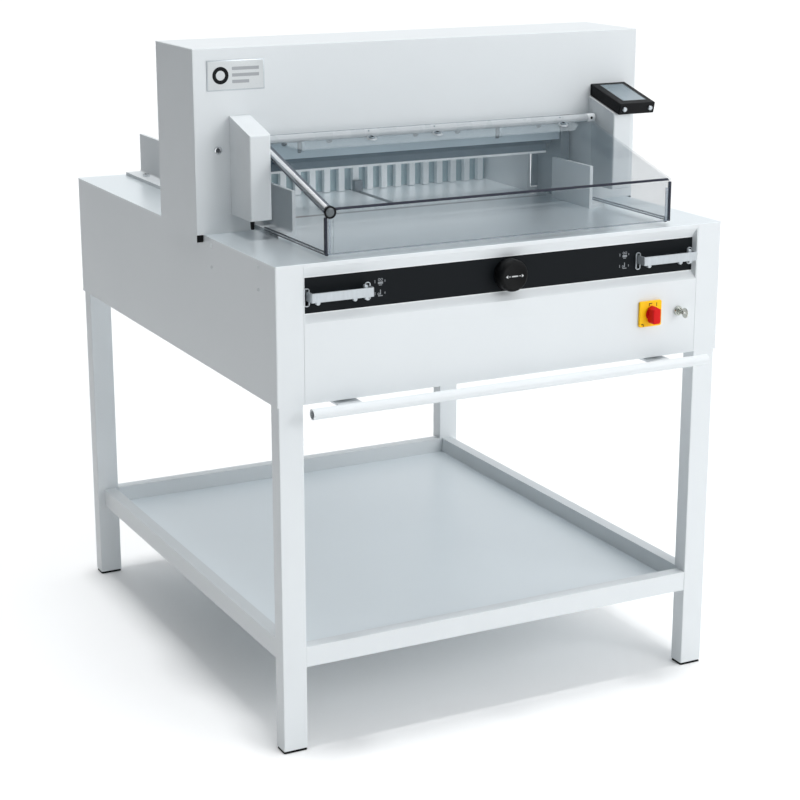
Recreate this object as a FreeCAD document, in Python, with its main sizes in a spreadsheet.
import FreeCAD, Part
import math
import os
import Sketcher

# Guillotine paper cutter on a steel stand. Millimetres, +X to the right of the person who stands in
# front of it, +Y to the back, +Z up. The origin is on the floor, in the middle of the overall width
# and of the overall length.

DIMENSIONS = [
    ("half_length", 565.0, "origin to the rearmost and foremost points"),
    ("case_depth", 1081.5, "case, front to back"),
    ("case_half", 471.75, "half of the case width"),
    ("case_base", 666.6, "underside of the case"),
    ("table_top", 920.0, "working height"),
    ("table_thick", 5.0, "table plate"),
    ("sheet", 2.0, "sheet steel of the covers"),
    ("leg_wide", 48.0, "leg section along X"),
    ("leg_deep", 35.0, "leg section along Y"),
    ("leg_wall", 2.5, "leg tube wall"),
    ("leg_inset_x", 3.75, "leg behind the case side"),
    ("leg_inset_y", 2.0, "leg behind the case front"),
    ("foot_thick", 5.0, "foot pad"),
    ("rail_low", 165.0, "underside of the shelf rails"),
    ("rail_high", 204.0, "top of the shelf rails"),
    ("rail_wide", 26.0, "shelf rail section"),
    ("pan_top", 170.0, "shelf pan surface"),
    ("post_inner", 418.0, "inner edge of the front post flanges"),
    ("trough_low", 812.5, "lower edge of the front trough"),
    ("trough_high", 912.5, "upper edge of the front trough"),
    ("trough_deep", 12.0, "depth of the front trough"),
    ("fascia_low", 827.0, "lower edge of the black band"),
    ("fascia_high", 894.0, "upper edge of the black band"),
    ("head_half", 485.0, "half of the head width"),
    ("head_front", -186.0, "front face of the head"),
    ("head_back", 4.0, "back face of the head"),
    ("head_top", 1264.5, "top of the head"),
    ("head_skirt", 905.0, "lower edge of the head sides"),
    ("mouth_half", 373.0, "half of the opening through the head"),
    ("mouth_top", 1098.0, "upper edge of the opening"),
    ("case_lip", 32.0, "width of the side panels' rear flanges"),
    ("frame_half", 345.0, "inner faces of the side frames"),
    ("column_x", 200.0, "clamp rods, out from the middle"),
    ("column_y", -66.0, "clamp rods"),
    ("beam_low", 1110.0, "underside of the cross beam"),
    ("beam_high", 1240.0, "top of the cross beam"),
    ("clamp_front", -92.0, "front face of the clamp"),
    ("clamp_back", -40.0, "back face of the clamp"),
    ("blade_line", -95.0, "rear face of the blade"),
    ("blade_edge", 1027.0, "cutting edge at rest"),
    ("blade_thick", 9.0, "blade"),
    ("blade_drop", 106.7, "vertical travel of the blade"),
    ("blade_shift", 15.0, "sideways travel of the blade"),
    ("clamp_under", 1008.0, "underside of the clamp at rest"),
    ("clamp_half", 332.0, "half of the clamp width"),
    ("lay_inner", 323.0, "inner faces of the side gauges"),
    ("front_lay_foot", 359.0, "outer edge of the front side guides' feet"),
    ("rear_lay_foot", 365.0, "outer edge of the rear side gauges' feet"),
    ("bed_front", -190.0, "front of the machine bed"),
    ("bed_back", -34.0, "back of the machine bed"),
    ("gauge_front", 132.0, "front face of the back gauge at rest"),
    ("tooth_pitch", 33.6, "spacing of the comb teeth"),
    ("tooth_wide", 13.2, "width of a comb tooth"),
    ("rail_x", 32.0, "back gauge's guide rods, out from the middle"),
    ("hinge_y", -211.0, "guard hinge axis"),
    ("hinge_z", 1093.0, "guard hinge axis"),
    ("hinge_radius", 8.0, "guard hinge tube"),
    ("hood_half", 366.0, "half of the hood width"),
    ("hood_front", -496.0, "front face of the hood"),
    ("hood_fold", 1008.0, "height of the hood's fold"),
    ("hood_low", 927.0, "lower edge of the hood"),
    ("hood_sheet", 4.0, "clear sheet of the hood"),
    ("arm_radius", 9.0, "radius of the rod along the hood's left edge"),
    ("housing_wide", 42.0, "width of a guard housing"),
    ("housing_front", -281.0, "front face of the guard housings"),
    ("housing_low", 955.0, "underside of the guard housings"),
    ("pod_left", 377.0, "left side of the control pod"),
    ("pod_right", 461.0, "right side of the control pod"),
    ("pod_back_top", 1157.5, "top of the pod at the head"),
    ("pod_reach", 111.0, "pod, out from the head"),
    ("pod_fall", 29.5, "fall of the pod's top"),
    ("pod_thick", 23.8, "height of the pod's back end"),
    ("knob_radius", 30.0, "front knob"),
    ("knob_deep", 28.0, "front knob"),
    ("band_mid", 860.5, "height of the knob axis"),
    ("lever_inner", 286.5, "inner end of a cut lever"),
    ("lever_outer", 408.5, "outer end of a cut lever"),
    ("lever_low", 852.0, "lower edge of a cut lever"),
    ("lever_tall", 16.5, "height of a cut lever's strap"),
    ("lever_front", -530.0, "front face of the cut levers"),
    ("lever_strap", 3.0, "strap thickness of a cut lever"),
    ("switch_x", 310.0, "main switch"),
    ("switch_z", 755.0, "main switch"),
    ("lock_x", 377.0, "key lock"),
    ("lock_z", 753.0, "key lock"),
    ("bar_z", 659.0, "pre-clamp bar axis"),
    ("bar_radius", 10.0, "pre-clamp bar"),
    ("bar_half", 422.0, "half of the pre-clamp bar's length"),
    ("pivot_y", -410.0, "pre-clamp bar's pivot axis"),
    ("pivot_z", 652.0, "pre-clamp bar's pivot axis"),
    ("spindle_z", 890.0, "back gauge spindle axis"),
    ("running_gap", 0.05, "radial clearance of a running fit"),
]


class Size:
    """A length that carries its value and the sheet expression that gives it."""

    def __init__(self, number, text):
        self.number = number
        self.text = text

    def join(self, sign, other):
        other = as_size(other)
        results = {
            "+": lambda a, b: a + b,
            "-": lambda a, b: a - b,
            "*": lambda a, b: a * b,
            "/": lambda a, b: a / b if b else 0.0,
        }
        number = results[sign](self.number, other.number)
        return Size(number, f"({self.text} {sign} {other.text})")

    def __add__(self, other):
        return self.join("+", other)

    def __sub__(self, other):
        return self.join("-", other)

    def __mul__(self, other):
        return self.join("*", other)

    def __truediv__(self, other):
        return self.join("/", other)

    def __radd__(self, other):
        return as_size(other).join("+", self)

    def __rsub__(self, other):
        return as_size(other).join("-", self)

    def __rmul__(self, other):
        return as_size(other).join("*", self)

    def __neg__(self):
        return as_size(0).join("-", self)


class Dimensions:
    """The driving dimensions as Size attributes."""


def as_size(value):
    return value if isinstance(value, Size) else Size(float(value), repr(float(value)))


def make_sheet():
    sheet = doc.addObject("Spreadsheet::Sheet", "Dims")
    for row, (alias, number, meaning) in enumerate(DIMENSIONS, start=1):
        sheet.set(f"A{row}", meaning)
        sheet.set(f"B{row}", str(number))
        sheet.setAlias(f"B{row}", alias)
        setattr(d, alias, Size(number, f"Dims.{alias}"))
    doc.recompute()


doc = FreeCAD.newDocument("GuillotineCutter")
d = Dimensions()
nodes = []
make_sheet()

# Places worked out from the driving dimensions.
case_front = d.half_length - d.case_depth
case_back = d.half_length
table_under = d.table_top - d.table_thick
fascia_front = case_front + d.trough_deep
fascia_back = fascia_front + 3
leg_outer = d.case_half - d.leg_inset_x
leg_inner = leg_outer - d.leg_wide
front_leg = (case_front + d.leg_inset_y, case_front + d.leg_inset_y + d.leg_deep)
rear_leg = (case_back - d.leg_inset_y - d.leg_deep, case_back - d.leg_inset_y)
blade_front = d.blade_line - d.blade_thick
carrier_front = blade_front - 22
hood_back = (d.hinge_y - 5, d.hinge_z - 7)
hood_fall = math.atan2((hood_back[1] - d.hood_fold).number, (hood_back[0] - d.hood_front).number)
TEETH = range(-9, 10)
GUIDES = (-220, 220)

AXES = {
    "X": FreeCAD.Rotation(FreeCAD.Vector(0, 1, 0), 90),
    "Y": FreeCAD.Rotation(FreeCAD.Vector(1, 0, 0), -90),
    "Z": FreeCAD.Rotation(),
}
PLANES = {"XY": ("XY_Plane", 1), "XZ": ("XZ_Plane", -1), "YZ": ("YZ_Plane", 1)}


# ---------------------------------------------------------------- building blocks


def bind(obj, prop, size):
    obj.setExpression(prop, as_size(size).text)


def place(obj, x, y, z):
    for axis, size in zip("xyz", (x, y, z)):
        bind(obj, f"Placement.Base.{axis}", size)


def block(name, x, y, z):
    """A box from (low, high) pairs along the three axes."""
    box = doc.addObject("Part::Box", name)
    for prop, (low, high) in zip(("Length", "Width", "Height"), (x, y, z)):
        bind(box, prop, as_size(high) - low)
    place(box, x[0], y[0], z[0])
    return box


def rod(name, axis, centre, radius, span):
    """A cylinder along an axis. centre gives the other two coordinates in X, Y, Z order."""
    cylinder = doc.addObject("Part::Cylinder", name)
    cylinder.Placement = FreeCAD.Placement(FreeCAD.Vector(), AXES[axis])
    bind(cylinder, "Radius", radius)
    bind(cylinder, "Height", as_size(span[1]) - span[0])
    base = list(centre)
    base.insert("XYZ".index(axis), span[0])
    place(cylinder, *base)
    return cylinder


def fuse(name, *shapes):
    union = doc.addObject("Part::MultiFuse", name)
    union.Shapes = list(shapes)
    union.Refine = True
    return union


def cut(name, base, *tools):
    difference = doc.addObject("Part::Cut", name)
    difference.Base = base
    difference.Tool = tools[0] if len(tools) == 1 else fuse(name + "_tools", *tools)
    return difference


def group(name, *shapes):
    """Separate solids that share one node."""
    compound = doc.addObject("Part::Compound", name)
    compound.Links = list(shapes)
    return compound


def draw_polygon(sketch, points):
    first = sketch.GeometryCount
    points = [(as_size(u), as_size(v)) for u, v in points]
    corners = [FreeCAD.Vector(u.number, v.number, 0) for u, v in points]
    for start, end in zip(corners, corners[1:] + corners[:1]):
        sketch.addGeometry(Part.LineSegment(start, end), False)
    for i, (u, v) in enumerate(points):
        after = first + (i + 1) % len(points)
        sketch.addConstraint(Sketcher.Constraint("Coincident", first + i, 2, after, 1))
        for kind, size in (("DistanceX", u), ("DistanceY", v)):
            constraint = Sketcher.Constraint(kind, -1, 1, first + i, 1, size.number)
            index = sketch.addConstraint(constraint)
            sketch.setExpression(f"Constraints[{index}]", size.text)


def draw_circle(sketch, u, v, radius):
    u, v, radius = as_size(u), as_size(v), as_size(radius)
    centre = FreeCAD.Vector(u.number, v.number, 0)
    ring = sketch.addGeometry(Part.Circle(centre, FreeCAD.Vector(0, 0, 1), radius.number), False)
    limits = (
        (Sketcher.Constraint("DistanceX", -1, 1, ring, 3, u.number), u),
        (Sketcher.Constraint("DistanceY", -1, 1, ring, 3, v.number), v),
        (Sketcher.Constraint("Radius", ring, radius.number), radius),
    )
    for constraint, size in limits:
        index = sketch.addConstraint(constraint)
        sketch.setExpression(f"Constraints[{index}]", size.text)


def prism(name, plane, span, outline, polygons=(), circles=()):
    """A padded outline with holes. span is (low, high) along the plane's missing axis."""
    body = doc.addObject("PartDesign::Body", name)
    sketch = body.newObject("Sketcher::SketchObject", name + "_outline")
    role, direction = PLANES[plane]
    attached = next(item for item in body.Origin.OriginFeatures if item.Role == role)
    sketch.AttachmentSupport = [(attached, "")]
    sketch.MapMode = "FlatFace"
    bind(sketch, "AttachmentOffset.Base.z", span[0] if direction > 0 else -as_size(span[1]))
    draw_polygon(sketch, outline)
    for points in polygons:
        draw_polygon(sketch, points)
    for circle in circles:
        draw_circle(sketch, *circle)
    pad = body.newObject("PartDesign::Pad", name + "_pad")
    pad.Profile = sketch
    bind(pad, "Length", as_size(span[1]) - span[0])
    return body


def round_edges(body, radius, chosen):
    """Fillet the edges of a body's tip for which chosen(edge) holds."""
    doc.recompute()
    base = body.Tip
    names = [f"Edge{i}" for i, edge in enumerate(base.Shape.Edges, start=1) if chosen(edge)]
    fillet = body.newObject("PartDesign::Fillet", body.Name + "_round")
    fillet.Base = (base, names)
    bind(fillet, "Radius", radius)
    return body


def parallel(axis, *tests):
    """A chooser of straight edges along an axis whose middle passes every test."""
    direction = {"X": FreeCAD.Vector(1, 0, 0), "Y": FreeCAD.Vector(0, 1, 0), "Z": FreeCAD.Vector(0, 0, 1)}

    def chosen(edge):
        if not isinstance(edge.Curve, Part.Line):
            return False
        along = abs(edge.Curve.Direction.dot(direction[axis])) > 0.999
        return along and all(test(edge.CenterOfMass) for test in tests)

    return chosen


def rect(x, y):
    return [(x[0], y[0]), (x[1], y[0]), (x[1], y[1]), (x[0], y[1])]


def mirrored(pair, side):
    return pair if side > 0 else (-as_size(pair[1]), -as_size(pair[0]))


def flipped(points, side):
    return [(as_size(u) * side, v) for u, v in points]


def node(obj, label):
    obj.Label = label
    nodes.append(obj)
    return obj


SIDES = (("left", -1), ("right", 1))


# ---------------------------------------------------------------- stand


def leg(name, side, y):
    x = mirrored((leg_inner, leg_outer), side)
    wall = d.leg_wall
    bore = rect((x[0] + wall, x[1] - wall), (y[0] + wall, y[1] - wall))
    tube = prism(name, "XY", (d.foot_thick, d.case_base), rect(x, y), polygons=[bore])

    def on_corner(point):
        near_x = min(abs(point.x - edge.number) for edge in x) < 0.1
        near_y = min(abs(point.y - edge.number) for edge in y) < 0.1
        return near_x and near_y

    return round_edges(tube, 2, parallel("Z", on_corner))


def foot(name, side, y):
    x = mirrored((leg_inner, leg_outer), side)
    plug = d.leg_wall + 0.2
    pad = block(name + "_pad", x, y, (0, d.foot_thick))
    inside = block(
        name + "_plug",
        (x[0] + plug, x[1] - plug),
        (y[0] + plug, y[1] - plug),
        (d.foot_thick, d.foot_thick + 18),
    )
    return fuse(name, pad, inside)


def square_tube(name, x, y, z, along):
    """A rectangular tube with open ends along X or Y."""
    wall = 2
    inner_x = x if along == "X" else (x[0] + wall, x[1] - wall)
    inner_y = y if along == "Y" else (y[0] + wall, y[1] - wall)
    solid = block(name + "_outer", x, y, z)
    return cut(name, solid, block(name + "_bore", inner_x, inner_y, (z[0] + wall, z[1] - wall)))


def make_stand():
    for label, y in (("front_legs", front_leg), ("rear_legs", rear_leg)):
        node(group(label, *[leg(f"{label}_{name}", side, y) for name, side in SIDES]), label)
    ends = (("front", front_leg), ("rear", rear_leg))
    feet = [foot(f"foot_{end}_{name}", side, y) for name, side in SIDES for end, y in ends]
    node(group("foot_pads", *feet), "foot_pads")

    height = (d.rail_low, d.rail_high)
    front_y = (front_leg[0] + 1, front_leg[0] + 1 + d.rail_wide)
    rear_y = (rear_leg[0] - 1, rear_leg[0] - 1 + d.rail_wide)
    side_x = (leg_inner + 7, leg_inner + 7 + d.rail_wide)
    rails = [
        square_tube("rail_front", (-leg_inner, leg_inner), front_y, height, "X"),
        square_tube("rail_rear", (-leg_inner, leg_inner), rear_y, height, "X"),
    ]
    for name, side in SIDES:
        rails.append(
            square_tube(f"rail_{name}", mirrored(side_x, side), (front_leg[1], rear_leg[0]), height, "Y")
        )
    node(group("shelf_rails", *rails), "shelf_rails")

    pan_z = (d.pan_top - 2, d.pan_top)
    middle = block("pan_middle", (-side_x[0], side_x[0]), (front_leg[1], rear_y[0]), pan_z)
    lip = block("pan_lip", (-leg_inner, leg_inner), (front_y[1], front_leg[1]), pan_z)
    node(fuse("shelf_pan", middle, lip), "shelf_pan")


# ---------------------------------------------------------------- case


def frustum(name, grow):
    """The tapered hollow of the front trough, grown by grow on every side."""
    wedge = doc.addObject("Part::Wedge", name)
    wide = d.post_inner - 2 + grow
    narrow = d.post_inner - 4.5 + grow
    sizes = {
        "Xmin": -wide, "Xmax": wide, "X2min": -narrow, "X2max": narrow,
        "Zmin": d.trough_low - grow, "Zmax": d.trough_high + grow,
        "Z2min": d.fascia_low - grow, "Z2max": d.fascia_high + grow,
        "Ymin": case_front, "Ymax": fascia_front,
    }
    for prop, size in sizes.items():
        bind(wedge, prop, size)
    return wedge


def make_front_panel():
    edge = d.post_inner - 0.5
    sheet_y = (case_front, case_front + d.sheet)
    plate = block("panel_plate", (-edge, edge), sheet_y, (d.case_base + d.sheet, table_under))
    walls = fuse("panel_walls", plate, frustum("trough_outside", 1.5))
    switch_hole = rod("switch_hole", "Y", (d.switch_x, d.switch_z), 5, (case_front - 1, case_front + 3))
    lock_hole = rod("lock_hole", "Y", (d.lock_x, d.lock_z), 9.5, (case_front - 1, case_front + 3))
    panel = cut("front_panel", walls, frustum("trough_inside", 0), switch_hole, lock_hole)
    node(panel, "front_panel")

    half = d.post_inner - 3
    slots = [
        rect((centre - 3.5, centre + 3.5), (d.lever_low - 9.5, d.lever_low + d.lever_tall + 3.5))
        for side in (-1, 1)
        for centre in (side * (d.lever_inner + 1.5), side * (d.lever_outer - 1.5))
    ]
    fascia = prism(
        "control_fascia", "XZ", (fascia_front, fascia_back),
        rect((-half, half), (d.fascia_low - 2, d.fascia_high + 2)),
        polygons=slots, circles=[(0, d.band_mid, 5 + d.running_gap)],
    )
    node(fascia, "control_fascia")


def make_case():
    for name, side in SIDES:
        wall = d.sheet
        outline = [
            (d.post_inner, case_front),
            (d.case_half, case_front),
            (d.case_half, case_back),
            (d.case_half - d.case_lip, case_back),
            (d.case_half - d.case_lip, case_back - wall),
            (d.case_half - wall, case_back - wall),
            (d.case_half - wall, case_front + wall),
            (d.post_inner, case_front + wall),
        ]
        height = (d.case_base + d.sheet, table_under)
        panel = prism(f"side_panel_{name}", "XY", height, flipped(outline, side))
        corner = d.case_half.number - 0.1
        round_edges(panel, 3, parallel("Z", lambda point: abs(point.x) > corner))
        node(panel, f"side_panel_{name}")

    floor_x = (-d.case_half, d.case_half)
    floor = block("bottom_cover", floor_x, (case_front, case_back), (d.case_base, d.case_base + d.sheet))
    node(floor, "bottom_cover")
    make_front_panel()
    back_y = (case_back - 4, case_back - d.sheet)
    back_half = d.case_half - d.case_lip + 20
    back = block("rear_plate", (-back_half, back_half), back_y, (d.case_base + d.sheet, table_under))
    opening = block("inlet_hole", (-400, -350), (case_back - 5, case_back), (700, 728))
    node(cut("rear_panel", back, opening), "rear_panel")

    slot = rect((-7, 7), (d.bed_back, case_back - 20))
    stick = rect((-(d.frame_half - 14), d.frame_half - 14), (blade_front, d.blade_line + 5))
    plate = prism(
        "table_plate", "XY", (table_under, d.table_top),
        rect((-d.case_half, d.case_half), (case_front, case_back)), polygons=[slot, stick],
    )
    corner = d.case_half.number - 0.1
    round_edges(plate, 3, parallel("Z", lambda point: abs(point.x) > corner))
    node(plate, "table_plate")

    inlet = fuse(
        "inlet_solid",
        block("inlet_flange", (-406, -344), (case_back - d.sheet, case_back), (694, 734)),
        block("inlet_body", (-400, -350), (case_back - 40, case_back - d.sheet), (700, 728)),
    )
    socket = block("inlet_socket", (-396, -354), (case_back - 25, case_back + 1), (704, 724))
    node(cut("power_inlet", inlet, socket), "power_inlet")


def make_bed():
    half = d.frame_half + 100
    length = (d.bed_front, d.bed_back)
    bed = block("bed_slab", (-half, half), length, (table_under - 55, table_under))
    webs = [
        block(f"bed_web_{name}", mirrored((half - 20, half), side), length,
              (d.case_base + d.sheet, table_under - 55))
        for name, side in SIDES
    ]
    groove = block("stick_groove", (-(d.frame_half - 14), d.frame_half - 14),
                   (blade_front, d.blade_line + 5), (table_under - 10, table_under + 1))
    pockets = [
        block(f"bed_pocket_{name}", mirrored((30, half - 40), side),
              (d.bed_front + 30, d.bed_back - 30), (table_under - 56, table_under - 20))
        for name, side in SIDES
    ]
    bearing = rod("bed_bearing", "Y", (0, d.spindle_z), 8 + d.running_gap,
                  (d.bed_back - 16, d.bed_back + 1))
    node(cut("machine_bed", fuse("bed_casting", bed, *webs), groove, bearing, *pockets), "machine_bed")

    stick_half = d.frame_half - 14.5
    stick = block("cutting_stick", (-stick_half, stick_half), (blade_front, d.blade_line + 5),
                  (table_under - 10, d.table_top))
    node(stick, "cutting_stick")


# ---------------------------------------------------------------- head


def portal_outline(half):
    return [
        (-half, d.table_top),
        (-d.mouth_half, d.table_top),
        (-d.mouth_half, d.mouth_top),
        (d.mouth_half, d.mouth_top),
        (d.mouth_half, d.table_top),
        (half, d.table_top),
        (half, d.head_top),
        (-half, d.head_top),
    ]


def make_head_covers():
    face = prism("head_face", "XZ", (d.head_front, d.head_front + d.sheet), portal_outline(d.head_half))
    top = d.head_top.number - 0.1
    round_edges(face, 1.5, lambda edge: edge.BoundBox.YMax < d.head_front.number + 0.1
                and (edge.BoundBox.ZMin > top or abs(edge.CenterOfMass.x) > d.head_half.number - 0.1))
    lintel = block("head_lintel", (-d.mouth_half, d.mouth_half), (d.head_front + d.sheet, d.head_front + 20),
                   (d.mouth_top, d.mouth_top + d.sheet))
    cheeks = [
        block(f"head_cheek_{name}", mirrored((d.mouth_half, d.mouth_half + d.sheet), side),
              (d.head_front + d.sheet, d.head_front + 76), (d.table_top, d.mouth_top + d.sheet))
        for name, side in SIDES
    ]
    node(fuse("head_front_cover", face, lintel, *cheeks), "head_front_cover")

    inner = d.head_half - d.sheet
    shell = prism(
        "head_shell", "XZ", (d.head_front + d.sheet, d.head_back - d.sheet),
        [
            (-d.head_half, d.head_skirt), (-d.head_half, d.head_top),
            (d.head_half, d.head_top), (d.head_half, d.head_skirt),
            (inner, d.head_skirt), (inner, d.head_top - d.sheet),
            (-inner, d.head_top - d.sheet), (-inner, d.head_skirt),
        ],
    )
    round_edges(shell, 2.5, parallel("Y", lambda point: point.z > top))
    node(shell, "head_shell")
    back = prism("head_back_cover", "XZ", (d.head_back - d.sheet, d.head_back), portal_outline(d.head_half))
    node(back, "head_back_cover")


def make_frames():
    for name, side in SIDES:
        x = mirrored((d.frame_half, d.frame_half + 20), side)
        outline = rect((-128, -38), (d.table_top, d.table_top + 320))
        plate = prism(f"side_frame_{name}", "YZ", x, outline, circles=[(-83, 1175, 22)])
        round_edges(plate, 8, parallel("X", lambda point: point.z > d.table_top.number + 300))
        node(plate, f"side_frame_{name}")

    beam_z = (d.beam_low, d.beam_high)
    beam = block("beam_block", (-d.frame_half, d.frame_half), (-90, -40), beam_z)
    bores = [
        rod(f"beam_bore_{name}", "Z", (side * d.column_x, d.column_y), 12 + d.running_gap,
            (d.beam_low - 1, d.beam_high + 1))
        for name, side in SIDES
    ]
    node(cut("cross_beam", beam, *bores), "cross_beam")
    guides = [guide_bar(f"blade_guide_{i}", x, beam_z, 0, (-110, -90)) for i, x in enumerate(GUIDES)]
    node(group("blade_guides", *guides), "blade_guides")


def guide_bar(name, x, z, grow, y):
    """A bar in the plane of the blade that leans along the blade's slanted travel."""
    lean = d.blade_shift / d.blade_drop
    low, high = as_size(z[0]), as_size(z[1])
    middle = (d.beam_low + d.beam_high) / 2
    half = as_size(14 + grow)
    outline = [
        (x - half + (low - middle) * lean, low),
        (x + half + (low - middle) * lean, low),
        (x + half + (high - middle) * lean, high),
        (x - half + (high - middle) * lean, high),
    ]
    return prism(name, "XZ", y, outline)


def make_blade():
    centre = d.blade_shift / 2
    half = d.frame_half - 9.5
    carrier = block("carrier_plate", (centre - half, centre + half), (carrier_front, blade_front),
                    (d.blade_edge + 13, d.beam_high - 2))
    grooves = [
        guide_bar(f"carrier_groove_{i}", x, (d.blade_edge + 3, d.beam_high + 10), 0.3,
                  (blade_front - 6.3, blade_front + 1))
        for i, x in enumerate(GUIDES)
    ]
    bolt_x = [centre + (i - 3) * 95 for i in range(7)]
    bolt_z = d.blade_edge + 45
    seats = [rod(f"bolt_seat_{i}", "Y", (x, bolt_z), 7, (carrier_front - 1, carrier_front + 9))
             for i, x in enumerate(bolt_x)]
    holes = [rod(f"bolt_hole_{i}", "Y", (x, bolt_z), 4, (carrier_front, d.blade_line + 1))
             for i, x in enumerate(bolt_x)]
    drilled = fuse("bolt_holes", *holes)
    node(cut("blade_carrier", carrier, drilled, *grooves, *seats), "blade_carrier")

    bevel = [
        (blade_front, d.blade_edge + 16),
        (d.blade_line - 0.4, d.blade_edge),
        (d.blade_line, d.blade_edge),
        (d.blade_line, d.blade_edge + 81),
        (blade_front, d.blade_edge + 81),
    ]
    steel = prism("blade_steel", "YZ", (centre - half + 3, centre + half - 3), bevel)
    node(cut("blade", steel, drilled), "blade")

    bolts = []
    for i, x in enumerate(bolt_x):
        head = rod(f"bolt_head_{i}", "Y", (x, bolt_z), 6.5, (carrier_front + 1, carrier_front + 9))
        shank = rod(f"bolt_shank_{i}", "Y", (x, bolt_z), 4, (carrier_front + 9, d.blade_line - 1))
        socket = rod(f"bolt_socket_{i}", "Y", (x, bolt_z), 3, (carrier_front, carrier_front + 5))
        bolts.append(cut(f"bolt_{i}", fuse(f"bolt_blank_{i}", head, shank), socket))
    node(group("blade_bolts", *bolts), "blade_bolts")


def make_clamp():
    bar_top = d.clamp_under + 58
    bar = block("clamp_bar", (-d.clamp_half, d.clamp_half), (d.clamp_front, d.clamp_back),
                (d.clamp_under, bar_top))
    rods = [rod(f"clamp_rod_{name}", "Z", (side * d.column_x, d.column_y), 12, (bar_top, d.beam_high - 4))
            for name, side in SIDES]
    notches = [
        block(f"clamp_notch_{i}", tooth_span(i, 2), (d.clamp_back - 16, d.clamp_back + 1),
              (d.clamp_under - 1, d.clamp_under + 40))
        for i in TEETH
    ]
    solid = fuse("clamp_solid", bar, *rods)
    node(cut("clamp_beam", solid, *notches), "clamp_beam")


# ---------------------------------------------------------------- gauges


def tooth_span(index, gap):
    centre = d.tooth_pitch * index
    return (centre - d.tooth_wide / 2 - gap, centre + d.tooth_wide / 2 + gap)


def make_back_gauge():
    front = d.gauge_front
    height = (d.table_top + 1, d.table_top + 83)
    plate = block("fence_plate", (-321, 321), (front + 15, front + 23), height)
    teeth = [block(f"fence_tooth_{i}", tooth_span(i, 0), (front, front + 15), height) for i in TEETH]
    web = block("fence_web", (-60, 60), (front + 23, front + 33), (d.table_top + 1, d.table_top + 45))
    node(fuse("back_gauge", plate, web, *teeth), "back_gauge")

    block_z = (d.spindle_z - 18, d.spindle_z + 18)
    saddle = block("saddle", (-45, 45), (front - 8, front + 52), block_z)
    neck = block("saddle_neck", (-6, 6), (front - 8, front + 30), (d.spindle_z + 18, d.table_top + 1))
    nose = block("saddle_nose", (-9, 9), (front - 14, front), (d.table_top + 1, d.table_top + 23))
    bores = [rod("saddle_nut", "Y", (0, d.spindle_z), 8 + d.running_gap, (front - 20, front + 60))]
    for name, side in SIDES:
        bores.append(rod(f"saddle_bore_{name}", "Y", (side * d.rail_x, d.spindle_z), 6 + d.running_gap,
                         (front - 20, front + 60)))
    node(cut("gauge_carriage", fuse("saddle_solid", saddle, neck, nose), *bores), "gauge_carriage")

    node(rod("gauge_spindle", "Y", (0, d.spindle_z), 8, (d.bed_back - 14, case_back - 50)), "gauge_spindle")
    rails = [rod(f"gauge_rod_{name}", "Y", (side * d.rail_x, d.spindle_z), 6,
                 (d.bed_back, case_back - 4))
             for name, side in SIDES]
    node(group("gauge_guide_rods", *rails), "gauge_guide_rods")
    motor_z = (d.spindle_z - 24, d.spindle_z + 24)
    node(block("gauge_motor", (-24, 24), (case_back - 49, case_back - 4), motor_z), "gauge_motor")


def side_gauge(label, side, y, height, foot_edge):
    foot_top = d.table_top + 7
    outline = [
        (d.lay_inner, d.table_top), (foot_edge, d.table_top), (foot_edge, foot_top),
        (d.lay_inner + 7, foot_top), (d.lay_inner + 7, d.table_top + height),
        (d.lay_inner, d.table_top + height),
    ]
    bar = prism(label, "XZ", y, flipped(outline, side))
    root = d.lay_inner.number + 7
    round_edges(bar, 4, parallel("Y", lambda point: abs(abs(point.x) - root) < 0.1 and point.z < 930))
    node(bar, label)


def make_gauges():
    make_back_gauge()
    for name, side in SIDES:
        side_gauge(f"front_side_guide_{name}", side, (-276, -132), 85, d.front_lay_foot)
        side_gauge(f"rear_side_gauge_{name}", side, (-33, case_back - 14), 90, d.rear_lay_foot)


# ---------------------------------------------------------------- guard


def make_hinge():
    tube = rod("hinge_round", "X", (d.hinge_y, d.hinge_z), d.hinge_radius, (-370, 370))
    strip = prism(
        "hinge_strip", "XY", (-5.2, -2.2),
        [(-318, -5), (318, -5), (318, -26), (297, -47), (-297, -47), (-318, -26)],
    )
    strip.Placement.Rotation = FreeCAD.Rotation(FreeCAD.Vector(1, 0, 0), math.degrees(hood_fall))
    place(strip, 0, d.hinge_y, d.hinge_z)
    axis = (d.hinge_y, d.hinge_z)
    ends = [rod(f"hinge_bore_{name}", "X", axis, 4 + d.running_gap, mirrored((350, 371), side))
            for name, side in SIDES]
    node(cut("guard_hinge_tube", fuse("hinge_solid", tube, strip), *ends), "guard_hinge_tube")
    pins = [rod(f"hinge_pin_{name}", "X", axis, 4, mirrored((352, 396), side))
            for name, side in SIDES]
    node(group("guard_hinge_pins", *pins), "guard_hinge_pins")


def under_hood(y, drop):
    """Height of a point at y that lies drop below the hood's sloping upper face."""
    return hood_back[1] + (y - hood_back[0]) * math.tan(hood_fall) - drop


def hood_arm(inside):
    """The rod that stiffens the hood's left edge: its axis is in the sheet's lower face."""
    arm = doc.addObject("Part::Cylinder", "arm_round")
    turn = FreeCAD.Rotation(FreeCAD.Vector(1, 0, 0), 90 + math.degrees(hood_fall))
    arm.Placement = FreeCAD.Placement(FreeCAD.Vector(), turn)
    bind(arm, "Radius", d.arm_radius)
    bind(arm, "Height", (hood_back[0] - d.hood_front) / math.cos(hood_fall))
    start = hood_back[0] - 2.8
    place(arm, d.arm_radius - d.hood_half, start, under_hood(start, d.hood_sheet / math.cos(hood_fall)))
    beyond = block("arm_beyond", (-d.hood_half - 5, -d.hood_half + 30), (inside - 30, inside),
                   (d.hood_fold - 50, d.hood_fold + 50))
    return cut("guard_arm", arm, beyond)


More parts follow.
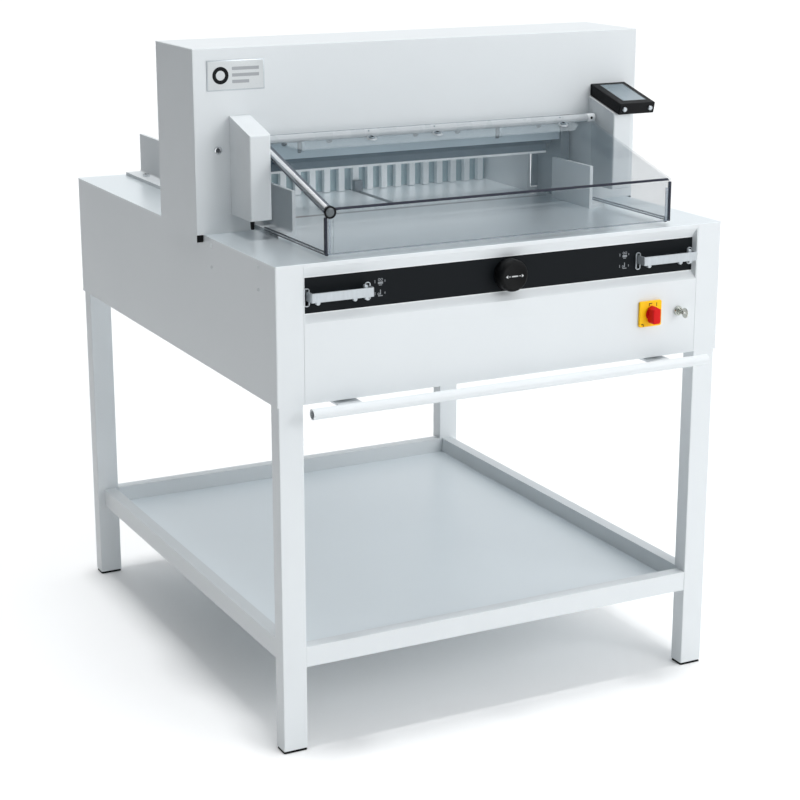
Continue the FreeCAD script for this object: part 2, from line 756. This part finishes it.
def make_hood():
    back, front = hood_back[0], d.hood_front
    inside = front + d.hood_sheet
    deep = d.hood_sheet / math.cos(hood_fall)
    bend = [
        hood_back, (front, d.hood_fold), (front, d.hood_low),
        (inside, d.hood_low), (inside, under_hood(inside, deep)), (back, under_hood(back, deep)),
    ]
    cover = prism("hood_bend", "YZ", (-d.hood_half, d.hood_half), bend)
    fold_low = d.hood_fold.number - 8
    round_edges(cover, 5, parallel("X", lambda point: point.y < front.number + 0.1 and point.z > fold_low))
    sides = []
    for name, side in SIDES:
        joint = inside - 0.5
        outline = [
            (back, under_hood(back, 3)), (joint, under_hood(joint, 3)),
            (joint, d.hood_low), (back - 9, d.hood_low), (back, d.hood_low + 113),
        ]
        x = mirrored((d.hood_half - d.hood_sheet, d.hood_half), side)
        sides.append(prism(f"hood_side_{name}", "YZ", x, outline))
    edge = prism(
        "hood_edge", "YZ", (-d.hood_half - 1, d.arm_radius - d.hood_half),
        [(back + 1, under_hood(back + 1, -1)), (inside, under_hood(inside, -1)),
         (inside, under_hood(inside, deep)), (back + 1, under_hood(back + 1, deep))],
    )
    arm = hood_arm(inside)
    node(cut("guard_hood", fuse("hood_sheet", cover, *sides), edge, arm), "guard_hood")
    node(arm, "guard_arm")


def housing(side, top_back, top_front, label):
    """A folded cover with a sloping top and an open back, set against the head."""
    x = mirrored((d.mouth_half, d.mouth_half + d.housing_wide), side)
    front, low = d.housing_front, d.housing_low
    outline = [(d.head_front, low), (d.head_front, top_back), (front, top_front), (front, low)]
    outside = prism(label + "_outside", "YZ", x, outline)
    lip = d.head_front.number - 0.1
    round_edges(outside, 3, lambda edge: edge.BoundBox.YMin < lip and edge.BoundBox.YMax < lip)
    wall = d.sheet
    hollow = [
        (d.head_front + 1, low + wall), (d.head_front + 1, as_size(top_back) - wall * 1.1),
        (front + wall, as_size(top_front) - wall * 0.9), (front + wall, low + wall),
    ]
    inside = prism(label + "_inside", "YZ", (x[0] + wall, x[1] - wall), hollow)
    pin = rod(label + "_pin_hole", "X", (d.hinge_y, d.hinge_z), 4, mirrored((370, 380), side))
    node(cut(label, outside, inside, pin), label)


def make_guard():
    make_hinge()
    make_hood()
    housing(-1, 1139, 1113, "guard_housing_left")
    top = d.pod_back_top - d.pod_thick - 0.2
    housing(1, top, top - 25.4, "guard_housing_right")


# ---------------------------------------------------------------- control pod


def make_pod():
    slope = math.atan2(d.pod_fall.number, d.pod_reach.number)
    tilt = FreeCAD.Rotation(FreeCAD.Vector(1, 0, 0), math.degrees(slope))
    front = d.head_front - d.pod_reach
    nose_y = front + d.pod_thick * math.sin(slope) * math.cos(slope)
    nose_z = d.pod_back_top - d.pod_fall - d.pod_thick * math.cos(slope) ** 2
    outline = [
        (d.head_front, d.pod_back_top), (front, d.pod_back_top - d.pod_fall),
        (nose_y, nose_z), (d.head_front, d.pod_back_top - d.pod_thick),
    ]
    shell = prism("pod_shell", "YZ", (d.pod_left, d.pod_right), outline)
    lip = d.head_front.number - 0.1
    round_edges(shell, 2.5, lambda edge: edge.BoundBox.YMax < lip or
                (edge.BoundBox.YMin < lip and edge.BoundBox.ZLength > 5 and edge.BoundBox.XLength < 1))

    def tilted(name, x, y, z):
        """A box in the pod's own frame: y runs up its slope to the head, z stands off its top."""
        box = block(name, x, y, z)
        box.setExpression("Placement.Base.y", None)
        box.setExpression("Placement.Base.z", None)
        corner = tilt.multVec(FreeCAD.Vector(0, as_size(y[0]).number, as_size(z[0]).number))
        box.Placement.Rotation = tilt
        bind(box, "Placement.Base.y", d.head_front + corner.y)
        bind(box, "Placement.Base.z", d.pod_back_top + corner.z)
        return box

    window_x = (d.pod_left + 17, d.pod_right - 11)
    recess = tilted("screen_recess", window_x, (-98, -8), (-1.6, 5))
    buttons = []
    pockets = []
    length = d.pod_reach.number / math.cos(slope)
    facing = tilt.multiply(FreeCAD.Rotation(FreeCAD.Vector(1, 0, 0), 90))
    for name, x in (("left", d.pod_left + 12), ("right", d.pod_right - 11)):
        for kind, radius, depth, height, made in (
            ("pocket", 5.1, 9, 11, pockets),
            ("cap", 4.8, 6.5, 9.5, buttons),
        ):
            middle = tilt.multVec(FreeCAD.Vector(0, depth - length, -11.5))
            cylinder = doc.addObject("Part::Cylinder", f"{kind}_{name}")
            cylinder.Placement = FreeCAD.Placement(FreeCAD.Vector(), facing)
            bind(cylinder, "Radius", radius)
            bind(cylinder, "Height", height)
            place(cylinder, x, d.head_front + middle.y, d.pod_back_top + middle.z)
            made.append(cylinder)
    node(cut("control_pod", shell, recess, *pockets), "control_pod")
    inset = (window_x[0] + 0.2, window_x[1] - 0.2)
    node(tilted("pod_screen", inset, (-97.8, -8.2), (-1.6, -0.4)), "pod_screen")
    for button, label in zip(buttons, ("pod_button_left", "pod_button_right")):
        node(button, label)


def make_trim():
    plate_y = (d.head_front - 1.5, d.head_front)
    node(block("nameplate", (-458, -343), plate_y, (1186, 1242)), "nameplate")
    screws = [rod(f"head_screw_{name}", "Y", (side * 439, 1076), 8, (d.head_front - 3, d.head_front))
              for name, side in SIDES]
    for name, side in SIDES:
        outer = (d.case_half, d.case_half + 1.5)
        for i, (y, z) in enumerate(((-223, 906), (-223, 865), (-443, 906), (-443, 865))):
            screws.append(rod(f"case_screw_{name}_{i}", "X", (y, z), 3.5, mirrored(outer, side)))
    node(group("cover_screws", *screws), "cover_screws")


# ---------------------------------------------------------------- controls


def make_knob():
    length = (fascia_front - d.knob_deep, fascia_front - 0.5)
    grip = rod("knob_grip", "Y", (0, d.band_mid), d.knob_radius, length)
    softened = doc.addObject("Part::Fillet", "knob_soft")
    softened.Base = grip
    doc.recompute()
    rims = [i for i, edge in enumerate(grip.Shape.Edges, start=1)
            if edge.BoundBox.YMax < grip.Shape.BoundBox.YMin + 0.1]
    softened.Edges = [(i, 4.0, 4.0) for i in rims]
    shaft = rod("knob_shaft", "Y", (0, d.band_mid), 5, (fascia_front - 1, fascia_back + 24))
    node(fuse("gauge_knob", softened, shaft), "gauge_knob")


def make_levers():
    bezels = []
    strap = d.lever_strap
    back = fascia_back + 23
    for name, side in SIDES:
        outline = [
            (d.lever_inner, back), (d.lever_inner, d.lever_front), (d.lever_outer, d.lever_front),
            (d.lever_outer, back), (d.lever_outer - strap, back),
            (d.lever_outer - strap, d.lever_front + strap),
            (d.lever_inner + strap, d.lever_front + strap), (d.lever_inner + strap, back),
        ]
        height = (d.lever_low, d.lever_low + d.lever_tall)
        lever = prism(f"cut_lever_{name}", "XY", height, flipped(outline, side))
        front = d.lever_front.number + 0.1
        round_edges(lever, 2.5, parallel("Z", lambda point: point.y < front))
        node(lever, f"cut_lever_{name}")
        low, high = d.lever_low - 9.5, d.lever_low + d.lever_tall + 3.5
        for centre in (side * (d.lever_inner + 1.5), side * (d.lever_outer - 1.5)):
            ring = prism(
                f"bezel_{name}_{len(bezels)}", "XZ", (fascia_front - 2, fascia_front),
                rect((centre - 5.5, centre + 5.5), (low - 2, high + 2)),
                polygons=[rect((centre - 3.5, centre + 3.5), (low, high))],
            )
            outer = 5.4
            middle = centre.number
            round_edges(ring, 5, parallel("Y", lambda point: abs(point.x - middle) > outer))
            bezels.append(ring)
    node(group("lever_bezels", *bezels), "lever_bezels")


def make_switch():
    face = case_front - 6
    x, z = d.switch_x, d.switch_z
    plate = prism("main_switch_plate", "XZ", (face, case_front),
                  rect((x - 25, x + 25), (z - 25, z + 25)), circles=[(x, z, 5 + d.running_gap)])
    round_edges(plate, 3, parallel("Y"))
    node(plate, "main_switch_plate")
    hub = rod("switch_hub", "Y", (x, z), 17, (face - 8, face - 0.4))
    grip = block("switch_grip", (x - 7, x + 7), (face - 22, face - 8), (z - 17, z + 17))
    shaft = rod("switch_shaft", "Y", (x, z), 5, (face - 0.4, face + 5.5))
    node(fuse("main_switch_handle", hub, grip, shaft), "main_switch_handle")

    x, z = d.lock_x, d.lock_z
    barrel = rod("lock_barrel", "Y", (x, z), 9.5, (case_front - 5, case_front + 20))
    bore = rod("lock_bore", "Y", (x, z), 6 + d.running_gap, (case_front - 6, case_front + 18))
    node(cut("key_lock", barrel, bore), "key_lock")
    plug = rod("key_plug", "Y", (x, z), 6, (case_front - 5, case_front + 17))
    shank = block("key_shank", (x - 1, x + 1), (case_front - 18, case_front - 5), (z - 4, z + 4))
    bow = rod("key_bow", "X", (case_front - 24, z), 10, (x - 1, x + 1))
    ring = rod("key_eye", "X", (case_front - 28, z), 2.5, (x - 2, x + 2))
    node(cut("key", fuse("key_solid", plug, shank, bow), ring), "key")


def make_bar():
    tube = rod("bar_tube", "X", (d.pivot_y - 145, d.bar_z), d.bar_radius, (-d.bar_half, d.bar_half))
    shaft = rod("bar_shaft", "X", (d.pivot_y, d.pivot_z), 6, (-362, 362))
    arms = []
    for name, side in SIDES:
        x = mirrored((310, 356), side)
        arms.append(block(f"bar_arm_{name}", x, (d.pivot_y - 145, d.pivot_y + 8), (d.bar_z - 2, d.bar_z + 2)))
        arms.append(block(f"bar_hub_{name}", x, (d.pivot_y - 9, d.pivot_y + 8), (d.pivot_z - 8, d.bar_z)))
    bore_x = (-d.bar_half - 1, d.bar_half + 1)
    bore = rod("bar_bore", "X", (d.pivot_y - 145, d.bar_z), d.bar_radius - 2, bore_x)
    node(cut("preclamp_bar", fuse("bar_solid", tube, shaft, *arms), bore), "preclamp_bar")
    brackets = []
    for name, side in SIDES:
        ear = block(f"bracket_{name}", mirrored((285, 300), side), (d.pivot_y - 13, d.pivot_y + 13),
                    (d.pivot_z - 12, d.case_base))
        hole = rod(f"bracket_hole_{name}", "X", (d.pivot_y, d.pivot_z), 6 + d.running_gap,
                   mirrored((284, 301), side))
        brackets.append(cut(f"bracket_cut_{name}", ear, hole))
    node(group("preclamp_brackets", *brackets), "preclamp_brackets")


# ---------------------------------------------------------------- inside the case


def make_drives():
    floor = d.case_base + d.sheet
    gearbox = block("gearbox", (120, 300), (-100, 60), (floor, floor + 150))
    motor = rod("drive_motor_body", "X", (-20, floor + 85), 70, (-130, 120))
    foot = block("drive_motor_foot", (-110, 100), (-80, 40), (floor, floor + 20))
    node(fuse("blade_drive", gearbox, motor, foot), "blade_drive")
    tank = block("oil_tank", (-400, -190), (150, 350), (floor, floor + 110))
    pump = rod("pump_motor", "Z", (-300, 250), 50, (floor + 110, floor + 200))
    node(fuse("hydraulic_unit", tank, pump), "hydraulic_unit")
    node(block("electronics_box", (150, 400), (200, 300), (floor, floor + 170)), "electronics_box")


# ---------------------------------------------------------------- check and write


def write_nodes():
    doc.recompute()
    for obj in doc.Objects:
        if "Invalid" in obj.State or "Error" in obj.State:
            raise RuntimeError(f"{obj.Label} failed: {obj.State}")
    os.makedirs("parts", exist_ok=True)
    for obj in nodes:
        shape = obj.Shape
        if shape.isNull() or not shape.isValid() or not shape.Solids:
            raise RuntimeError(f"{obj.Label} has no valid solid")
        shape.exportStep(f"parts/{obj.Label}.step")
    print(len(nodes), "nodes written")


make_stand()
make_case()
make_bed()
make_head_covers()
make_frames()
make_blade()
make_clamp()
make_gauges()
make_guard()
make_pod()
make_trim()
make_knob()
make_levers()
make_switch()
make_bar()
make_drives()
write_nodes()
